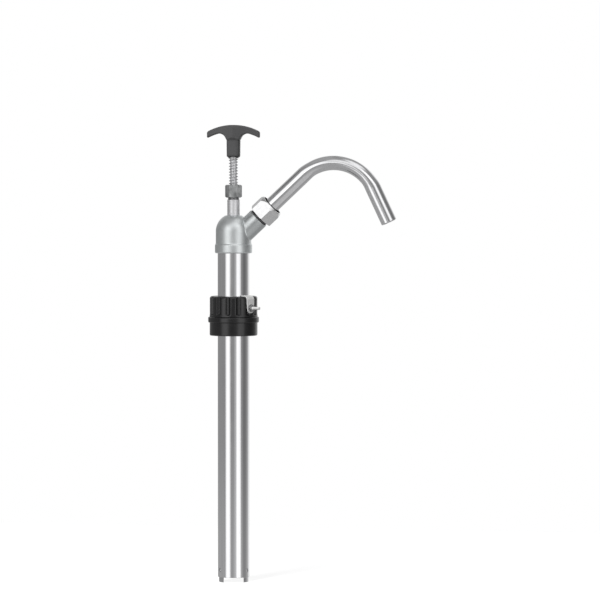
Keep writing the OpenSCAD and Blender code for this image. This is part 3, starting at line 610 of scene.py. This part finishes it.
# The head is a satin light-alloy casting: a rim band round the tube's socket, a dome, and the
# outlet branch, a little smoother and darker with painted shade, which runs out of its side at 43
# degrees to a threaded end, its thread dark with painted shade.
satin_casting = finish("satin_casting", (0.755, 0.785, 0.79), (0.675, 0.70, 0.705), (0.34, 0.44),
                       (900.0, 900.0, 900.0), 0.3, depth=0.00006)
# A darker copy of the casting's finish for the branch: painted shade that keeps the branch darker than
# the dome.
shaded_branch_casting = finish("shaded_branch_casting", (0.62, 0.645, 0.65), (0.54, 0.56, 0.565), (0.32, 0.42),
                        (700.0, 700.0, 700.0), 0.2, depth=0.00006)
# Dark steel that paints shade into the threads and into the union nut's recess, where the gaps lie in
# shadow.
shade_painted_steel = finish("shade_painted_steel", (0.26, 0.26, 0.265), (0.15, 0.15, 0.155), (0.30, 0.45),
                      (600.0, 600.0, 600.0), 0.2)
rim_radius, head_foot, _ = size_of("pump_head")
rim_top, dome_centre, dome_flat = head_foot + 9.7, head_foot + 25.6, head_foot + 45.1
dome_radius, rim_rounding, rim_fillet, flat_rounding = 21.25, 1.1, 2.2, 1.2
branch_start, branch_radius, branch_rounding, branch_fillet = head_foot + 12.8, 13.0, 0.6, 0.7
branch_inside, branch_long, branch_end = 4.0, 42.0, 56.6
branch_tilt = math.radians(46.75)
to_branch = Matrix.Translation((0.0, 0.0, branch_start * MM)) @ Matrix.Rotation(branch_tilt, 4, "Y")


def on_branch(shape, along=0.0):
    """Carries a shape that points up from the origin to the branch, that far along it."""
    bmesh.ops.transform(shape, verts=shape.verts[:],
                        matrix=to_branch @ Matrix.Translation((0.0, 0.0, along * MM)))
    return shape


def rounded_off(rounding, *sides):
    """Distance outside a form, given the distances outside its sides, with its edges rounded."""
    out = np.stack(sides) + rounding
    return np.linalg.norm(np.maximum(out, 0.0), axis=0) + np.minimum(out.max(axis=0), 0.0) - rounding


def blended(first, second, width):
    """The nearer of two surfaces, run together in a fillet where they meet."""
    part = np.clip(0.5 + 0.5 * (second - first) / width, 0.0, 1.0)
    return second + (first - second) * part - width * part * (1.0 - part)


branch_way = np.array([math.sin(branch_tilt), 0.0, math.cos(branch_tilt)])


def dome_skin(points):
    """Distance of points, in millimetres, outside the head's dome and rim band."""
    radial = np.hypot(points[:, 0], points[:, 1])
    up = points[:, 2]
    dome = np.where(up > dome_centre, np.hypot(radial, up - dome_centre), radial) - dome_radius
    body = -blended(-dome, dome_flat - up, flat_rounding)
    body = np.maximum(body, head_foot - up)
    rim = rounded_off(rim_rounding, radial - rim_radius, head_foot - up, up - rim_top)
    return blended(body, rim, rim_fillet)


def branch_skin(points):
    """Distance of points, in millimetres, outside the branch."""
    from_start = points - np.array([0.0, 0.0, branch_start])
    along = from_start @ branch_way
    aside = np.linalg.norm(from_start - along[:, None] * branch_way, axis=1)
    return rounded_off(branch_rounding, aside - branch_radius, branch_inside - along,
                       along - branch_long)


def casting(points):
    """Distance of points, in millimetres, outside the whole cast skin."""
    return blended(dome_skin(points), branch_skin(points), branch_fillet)


def skinned(rough, outside):
    """The rough shape on an even fine grid, its points drawn on to the skin that the distance
    outside it gives."""
    mesh = bpy.data.meshes.new("rough")
    rough.to_mesh(mesh)
    rough.free()
    blank = bpy.data.objects.new("rough", mesh)
    scene.collection.objects.link(blank)
    grid = blank.modifiers.new("even_grid", "REMESH")
    grid.mode = "VOXEL"
    grid_size, rounds, feel, pull, least_slope = 0.6, 10, 0.01, 0.9, 0.2
    grid.voxel_size = grid_size * MM
    shape = bmesh.new()
    shape.from_object(blank, bpy.context.evaluated_depsgraph_get())
    bpy.data.objects.remove(blank)
    bpy.data.meshes.remove(mesh)
    skin = np.array([point.co for point in shape.verts]) / MM
    for _ in range(rounds):
        gap = outside(skin)
        slope = np.stack([(outside(skin + step) - outside(skin - step)) / (2.0 * feel)
                          for step in np.eye(3) * feel], axis=1)
        steepness = np.maximum((slope ** 2).sum(axis=1), least_slope)
        skin -= pull * gap[:, None] * slope / steepness[:, None]
    for point, at in zip(shape.verts, skin):
        point.co = Vector(at) * MM
    return shape


rough_dome = [(18.5, dome_centre + 10.5, 0.0), (12.0, dome_centre + 17.5, 0.0), (8.5, dome_flat, 0.0)]
rough_head = turned([(0.0, head_foot, 0.0), (rim_radius, head_foot, 0.0), (rim_radius, rim_top, 0.0),
                     (dome_radius, rim_top + 1.0, 0.0), (dome_radius, dome_centre, 0.0)] + rough_dome
                    + [(0.0, dome_flat, 0.0)], 96)
rough_branch = on_branch(turned([(0.0, branch_inside, 0.0), (branch_radius, branch_inside, 0.0),
                                 (branch_radius, branch_long, 0.0), (0.0, branch_long, 0.0)], 96))
head = skinned(combine(rough_head, rough_branch, "UNION"), casting)
socket_radius, socket_top, below_head = tube_radius + close_fit, head_foot + 15.0, head_foot - 4.0
socket = turned([(0.0, below_head, 0.0), (socket_radius, below_head, 0.0),
                 (socket_radius, socket_top, 0.0), (0.0, socket_top, 0.0)], 160)
head = combine(head, socket, "DIFFERENCE")
# Faces of the branch, rather than of the dome, take the darker copy of the finish: painted shade.
middles = np.array([face.calc_center_median() for face in head.faces]) / MM
shaded_branch_margin = 0.4
for face, shaded_branch_face in zip(head.faces, branch_skin(middles) < dome_skin(middles) - shaded_branch_margin):
    face.material_index = 2 if shaded_branch_face else 0
branch_bore, branch_root, branch_crest = 9.6, 11.1, 12.0
pipe_end = turned([(branch_bore, branch_long - 1.0, 0.0), (branch_root, branch_long - 1.0, 0.0),
                   (branch_root, branch_end, 0.3), (branch_bore, branch_end, 0.3)], 96)
branch_ridge = thread(branch_root, branch_crest, 1.5, branch_long - 0.1, branch_end, 0.4)
branch_thread = add(pipe_end, branch_ridge)
# The branch's threaded end takes the dark steel: painted shade in the gap under the union nut.
for face in branch_thread.faces:
    face.material_index = 1
fit("head_casting", add(head, on_branch(branch_thread)), satin_casting, "barrel", "cast_head",
    "pump_head", crease=48.0, others=(shade_painted_steel, shaded_branch_casting))

# The gland neck is turned from bright steel bar and screwed into the dome. Its threaded upper
# end holds the rod's packing.
bright_steel = finish("bright_steel", (0.82, 0.82, 0.83), (0.74, 0.74, 0.755), (0.46, 0.54),
                      (120.0, 120.0, 3200.0), 0.08)
neck_radius, _, neck_end = size_of("gland_neck")
neck_top, neck_root, neck_crest, neck_bore = dome_flat + 18.4, 6.3, 6.9, 4.4
neck = turned([(neck_bore, dome_flat - 0.2, 0.0), (neck_radius, dome_flat - 0.2, 0.0),
               (neck_radius, neck_top, 0.35), (neck_root, neck_top, 0.0), (neck_root, neck_end, 0.3),
               (neck_bore, neck_end, 0.3)], 96)
neck_thread = thread(neck_root, neck_crest, 1.5, neck_top, neck_end - 0.2, 0.3)
# The neck's thread takes the dark steel: painted shade under the gland nut.
for face in neck_thread.faces:
    face.material_index = 1
fit("neck_turning", add(neck, neck_thread), bright_steel, "barrel", "turned_steel", "gland_neck",
    others=(shade_painted_steel,))

# The gland nut is a plain steel hexagon, dulled and mottled by use; it presses the follower on
# to the packing, and the buffer spring stands on it.
mottled_steel = finish("mottled_steel", (0.72, 0.73, 0.73), (0.30, 0.31, 0.31), (0.26, 0.46),
                       (210.0, 210.0, 150.0), 0.35)
_, gland_foot, gland_top = size_of("gland_nut")
gland_flats, gland_plate, gland_chamfer, gland_turn = 17.5, 3.7, (1.8, 1.1), math.radians(40.0)
gland_bore, gland_tall = neck_crest + close_fit, gland_top - gland_foot
gland_ceiling = gland_tall - gland_plate
gland = hexagon(gland_flats, gland_tall, gland_chamfer, gland_chamfer, gland_turn,
                [(gland_bore, 0.0), (gland_bore, gland_ceiling), (neck_bore, gland_ceiling),
                 (neck_bore, gland_tall)])
bmesh.ops.translate(gland, vec=(0.0, 0.0, gland_foot * MM), verts=gland.verts[:])
fit("gland_hexagon", gland, mottled_steel, "barrel", "nut_steel", "gland_nut", edge=0.35)

# The union nut is a bright plated hexagon with a recess turned in its outer end. It draws the
# spout's collar down on to the branch, and slackened it lets the spout swing round.
bright_plate = finish("bright_plate", (0.80, 0.80, 0.80), (0.70, 0.70, 0.71), (0.2, 0.3),
                      (300.0, 300.0, 300.0), 0.15)
union_flats, union_long, union_turn, union_gap = 29.5, 19.5, math.radians(76.0), 3.1
union_bore, union_hole, union_recess, recess_deep = branch_crest + close_fit, 9.9, 13.1, 3.0
recess_floor, plate_thick = union_long - recess_deep, 1.2
plate_foot = recess_floor - plate_thick
union = hexagon(union_flats, union_long, (1.2, 0.7), (2.8, 4.7), union_turn,
                [(union_bore, 0.0), (union_bore, plate_foot), (union_hole, plate_foot),
                 (union_hole, recess_floor), (union_recess, recess_floor), (union_recess, union_long)])
# The faces inside the recess take the dark steel: painted shade in the recess.
for face in union.faces:
    middle = face.calc_center_median() / MM
    if middle.z > plate_foot + 0.1 and middle.xy.length < union_recess + close_fit:
        face.material_index = 1
fit("union_hexagon", on_branch(union, branch_long + union_gap), bright_plate, "barrel", "nut_steel",
    "union_nut", edge=0.5, others=(shade_painted_steel,))

# The spout is stainless tube, 19 mm outside, bent to a goose-neck, which flattened it a little
# in the bend, and polished; its lower end sits in the branch and its mouth is cut square.
spout_steel = finish("spout_steel", (0.80, 0.80, 0.81), (0.72, 0.72, 0.735), (0.10, 0.17),
                     (420.0, 420.0, 420.0), 0.04)
spout_radius, spout_wall, spout_start, spout_run = 9.5, 1.4, 48.1, 117.5
bend_radius, bend_angle, end_long = 53.0, math.radians(108.0), 44.5
bend_flattened, bend_lead = 0.08, math.radians(14.0)
spout = bmesh.new()
bmesh.ops.create_circle(spout, cap_ends=False, segments=96, radius=spout_radius * MM,
                        matrix=Matrix.Translation((0.0, 0.0, spout_start * MM)))


def drawn_on(shape, ring, vector):
    """Draws a ring of edges out along a vector; gives the ring at the far end."""
    drawn = bmesh.ops.extrude_edge_only(shape, edges=ring)
    ends = {v for v in drawn["geom"] if isinstance(v, bmesh.types.BMVert)}
    bmesh.ops.translate(shape, vec=vector, verts=list(ends))
    return [e for e in shape.edges if all(v in ends for v in e.verts)]


ring = drawn_on(spout, spout.edges[:], (0.0, 0.0, (spout_run - spout_start) * MM))
curved = bmesh.ops.spin(spout, geom=ring, cent=(bend_radius * MM, 0.0, spout_run * MM),
                        axis=(0.0, 1.0, 0.0), angle=bend_angle, steps=90)
ring = [e for e in curved["geom_last"] if isinstance(e, bmesh.types.BMEdge)]
drawn_on(spout, ring, Matrix.Rotation(bend_angle, 3, "Y") @ Vector((0.0, 0.0, end_long * MM)))
bmesh.ops.remove_doubles(spout, verts=spout.verts[:], dist=1e-7)
for point in spout.verts:
    rise = point.co.z - spout_run * MM
    inward = bend_radius * MM - point.co.x
    turn = math.atan2(rise, inward)
    if rise > 0.0 or inward < 0.0:
        lead = min(turn, bend_angle - turn) / bend_lead
        lead = min(max(lead, 0.0), 1.0)
        squeeze = bend_flattened * lead * lead * (3.0 - 2.0 * lead)
        reach = math.hypot(rise, inward)
        pull = 1.0 - squeeze * (1.0 - bend_radius * MM / reach)
        point.co.x = bend_radius * MM - inward * pull
        point.co.z = spout_run * MM + rise * pull
        point.co.y *= 1.0 + squeeze * 0.4
bmesh.ops.recalc_face_normals(spout, faces=spout.faces[:])
bmesh.ops.solidify(spout, geom=spout.faces[:], thickness=spout_wall * MM)
fit("spout_bent", on_branch(spout), spout_steel, "spout", "polished_tube", "spout_tube", edge=0.5)

# The buffer spring is wound from spring wire round the rod, its end turns closed up. It takes
# the blow when the handle is driven down.
spring_wire = finish("spring_wire", (0.64, 0.64, 0.65), (0.50, 0.50, 0.51), (0.2, 0.3),
                     (700.0, 700.0, 700.0), 0.1)
_, spring_low, spring_high = size_of("buffer_spring")
spring_tall = spring_high - spring_low
wire, coil_radius, spring_give = 1.2, 4.9, 12.0
closed_turns, open_turns, closed_pitch, turn_sides = 0.75, 8.0, 1.8, 40
open_pitch = (spring_tall - wire - 2.0 * closed_turns * closed_pitch) / open_turns
spring = bmesh.new()
coil_start = Matrix.Translation((coil_radius * MM, 0.0, (spring_low + wire / 2.0) * MM))
bmesh.ops.create_circle(spring, cap_ends=True, segments=14, radius=wire / 2.0 * MM,
                        matrix=coil_start @ Matrix.Rotation(math.radians(90.0), 4, "X"))
section = spring.verts[:] + spring.edges[:] + spring.faces[:]
windings = ((closed_turns, closed_pitch), (open_turns, open_pitch), (closed_turns, closed_pitch))
for turns, pitch in windings:
    wound = bmesh.ops.spin(spring, geom=section, cent=(0.0, 0.0, 0.0), axis=(0.0, 0.0, 1.0),
                           dvec=(0.0, 0.0, pitch / turn_sides * MM), angle=2.0 * math.pi * turns,
                           steps=int(turns * turn_sides))
    section = wound["geom_last"]
coil = fit("spring_coil", spring, spring_wire, "spring", "spring_steel", "buffer_spring")
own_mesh(coil)

# A plain steel washer lies between the spring and the handle's stem.
washer_radius, washer_low, washer_high = size_of("buffer_washer")
fit("plain_washer", turned([(neck_bore, washer_low, 0.15), (washer_radius, washer_low, 0.2),
                            (washer_radius, washer_high, 0.2), (neck_bore, washer_high, 0.15)], 64),
    plated_steel, "buffer", "plated_steel", "buffer_washer")

# The T-handle is moulded in dark grey plastic: two arched arms, deepest at a ridge in the
# middle, run through wide fillets into a straight stem that is bonded on to the rod.
handle_plastic = finish("handle_plastic", (0.107, 0.107, 0.109), (0.087, 0.087, 0.089), (0.40, 0.52),
                        (1300.0, 1300.0, 1300.0), 0.3, metallic=0.0, specular=0.3)
_, stem_foot, handle_top = size_of("t_handle")
handle_half, arch_radius, arm_thick, fillet = 32.0, 67.0, 7.8, 9.0
stem_half_foot, stem_half_top, stem_half_deep, foot_round = 7.9, 8.1, 6.2, 3.6
grip_half_deep, tip_half_deep, stem_step, ridge_power = 9.3, 3.8, 1.2, 2.2
grip_rounding, stem_rounding, stem_end_rounding, stem_fillet = 1.7, 4.6, 1.4, 0.5
arch_centre = handle_top - arch_radius
tip_turn = math.degrees(math.asin(handle_half / arch_radius))
fillet_x = stem_half_top + fillet
fillet_turn = math.degrees(math.asin(fillet_x / (arch_radius - fillet)))
fillet_z = arch_centre - arm_thick + (arch_radius - fillet) * math.cos(math.radians(fillet_turn))
tip_z = arch_centre - arm_thick + arch_radius * math.cos(math.radians(tip_turn))
handle = bmesh.new()


def swing(shape, start, centre, degrees, pieces):
    """An arc of edges from a vertex, swung about a point of the handle's front; gives its end."""
    swept = bmesh.ops.spin(shape, geom=[start], cent=(centre[0] * MM, 0.0, centre[1] * MM),
                           axis=(0.0, 1.0, 0.0), angle=math.radians(degrees), steps=pieces)
    return next(v for v in swept["geom_last"] if isinstance(v, bmesh.types.BMVert))


def straight(shape, start, x, z):
    """An edge from a vertex to a point of the handle's front; gives its end."""
    end = bmesh.ops.extrude_vert_indiv(shape, verts=[start])["verts"][0]
    end.co = (x * MM, 0.0, z * MM)
    return end


def half_handle(side):
    """Half of the handle's outline, from the top of the arch out to a tip and down the stem."""
    top = handle.verts.new((0.0, 0.0, handle_top * MM))
    upper_corner = swing(handle, top, (0.0, arch_centre), side * tip_turn, 24)
    lower_corner = straight(handle, upper_corner, side * handle_half, tip_z)
    hollow_centre = (0.0, arch_centre - arm_thick)
    at = swing(handle, lower_corner, hollow_centre, -side * (tip_turn - fillet_turn), 10)
    at = swing(handle, at, (side * fillet_x, fillet_z), -side * (90.0 + fillet_turn), 16)
    at = straight(handle, at, side * stem_half_foot, stem_foot)
    straight(handle, at, 0.0, stem_foot)


half_handle(1.0)
half_handle(-1.0)
bmesh.ops.remove_doubles(handle, verts=handle.verts[:], dist=1e-5)
bmesh.ops.contextual_create(handle, geom=handle.edges[:])
deep = bmesh.ops.extrude_face_region(handle, geom=handle.faces[:], use_keep_orig=True)
bmesh.ops.translate(handle, vec=(0.0, 2.0 * stem_half_deep * MM, 0.0),
                    verts=[v for v in deep["geom"] if isinstance(v, bmesh.types.BMVert)])
bmesh.ops.translate(handle, vec=(0.0, -stem_half_deep * MM, 0.0), verts=handle.verts[:])
bmesh.ops.recalc_face_normals(handle, faces=handle.faces[:])


def moulding(points):
    """Distance of points, in millimetres, outside the handle's moulded skin."""
    aside, deep, up = np.abs(points[:, 0]), np.abs(points[:, 1]), points[:, 2]
    arch = np.hypot(aside, up - arch_centre) - arch_radius
    hollow = arch_radius - np.hypot(aside, up - arch_centre + arm_thick)
    out, over = aside - fillet_x, up - fillet_z
    lean = math.radians(fillet_turn)
    in_fillet = out * math.cos(lean) < over * math.sin(lean)
    under = np.where(in_fillet, fillet - np.hypot(out, over), hollow)
    under = np.where(over < 0.0, aside - stem_half_top, under)
    to_tip = np.maximum(1.0 - np.hypot(aside, 0.3) / handle_half, 0.0)
    face = deep - tip_half_deep - (grip_half_deep - tip_half_deep) * to_tip ** ridge_power
    grip = rounded_off(grip_rounding, arch, under, aside - handle_half, face, stem_step - over)
    widening = (stem_half_top - stem_half_foot) / (fillet_z - stem_foot)
    stem_half = stem_half_foot + widening * (up - stem_foot)
    low = np.clip(foot_round - up + stem_foot, 0.0, foot_round)
    tuck = foot_round - np.sqrt(foot_round ** 2 - low ** 2)
    stem = rounded_off(stem_rounding, aside - stem_half, deep + tuck - stem_half_deep)
    stem = rounded_off(stem_end_rounding, stem, stem_foot - up, up - handle_top + arm_thick)
    return blended(grip, stem, stem_fillet)


handle = skinned(handle, moulding)
fit("handle_moulding", handle, handle_plastic, "plunger", "handle_plastic", "t_handle", crease=28.0)

# The piston rod is ground stainless bar, 8 mm, stepped down at the foot for the piston.
rod_radius, rod_foot, rod_top = size_of("piston_rod")
rod_shoulder, rod_end_radius = rod_foot + 28.5, rod_radius - 1.0
fit("ground_rod", turned([(0.0, rod_foot, 0.0), (rod_end_radius, rod_foot, 0.5),
                          (rod_end_radius, rod_shoulder, 0.0), (rod_radius, rod_shoulder, 0.3),
                          (rod_radius, rod_top, 0.4), (0.0, rod_top, 0.0)], 64),
    bright_steel, "plunger", "turned_steel", "piston_rod")

# Inside the tube, head and adapter the working pieces keep their solid shapes: seals and cup
# in rubber and white plastic, brass follower, steel washers, ball and stop.
white_plastic = finish("white_plastic", (0.80, 0.79, 0.76), (0.72, 0.71, 0.68), (0.3, 0.42),
                       (700.0, 700.0, 700.0), 0.15, metallic=0.0)
seal_rubber = finish("seal_rubber", (0.022, 0.022, 0.022), (0.014, 0.014, 0.014), (0.55, 0.7),
                     (900.0, 900.0, 900.0), 0.3, metallic=0.0)
grip_plastic = finish("grip_plastic", (0.20, 0.20, 0.205), (0.15, 0.15, 0.155), (0.4, 0.52),
                      (900.0, 900.0, 900.0), 0.25, metallic=0.0)
brass = finish("brass", (0.78, 0.56, 0.24), (0.66, 0.46, 0.19), (0.24, 0.36),
               (150.0, 150.0, 2600.0), 0.1)
inside = {white_plastic: ["gland_packing", "spout_seal", "piston_body", "piston_cup", "valve_plate"],
          seal_rubber: ["tube_ring", "head_seal", "foot_ring"],
          grip_plastic: ["grip_ring"],
          brass: ["gland_follower"],
          turned_steel: ["ball_stop", "valve_ball", "spout_collar", "cup_spreader", "plate_guide",
                         "plate_stop", "plunger_washer", "plunger_nut"]}
for material, names in inside.items():
    for name in names:
        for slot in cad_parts[name].material_slots:
            slot.material = material
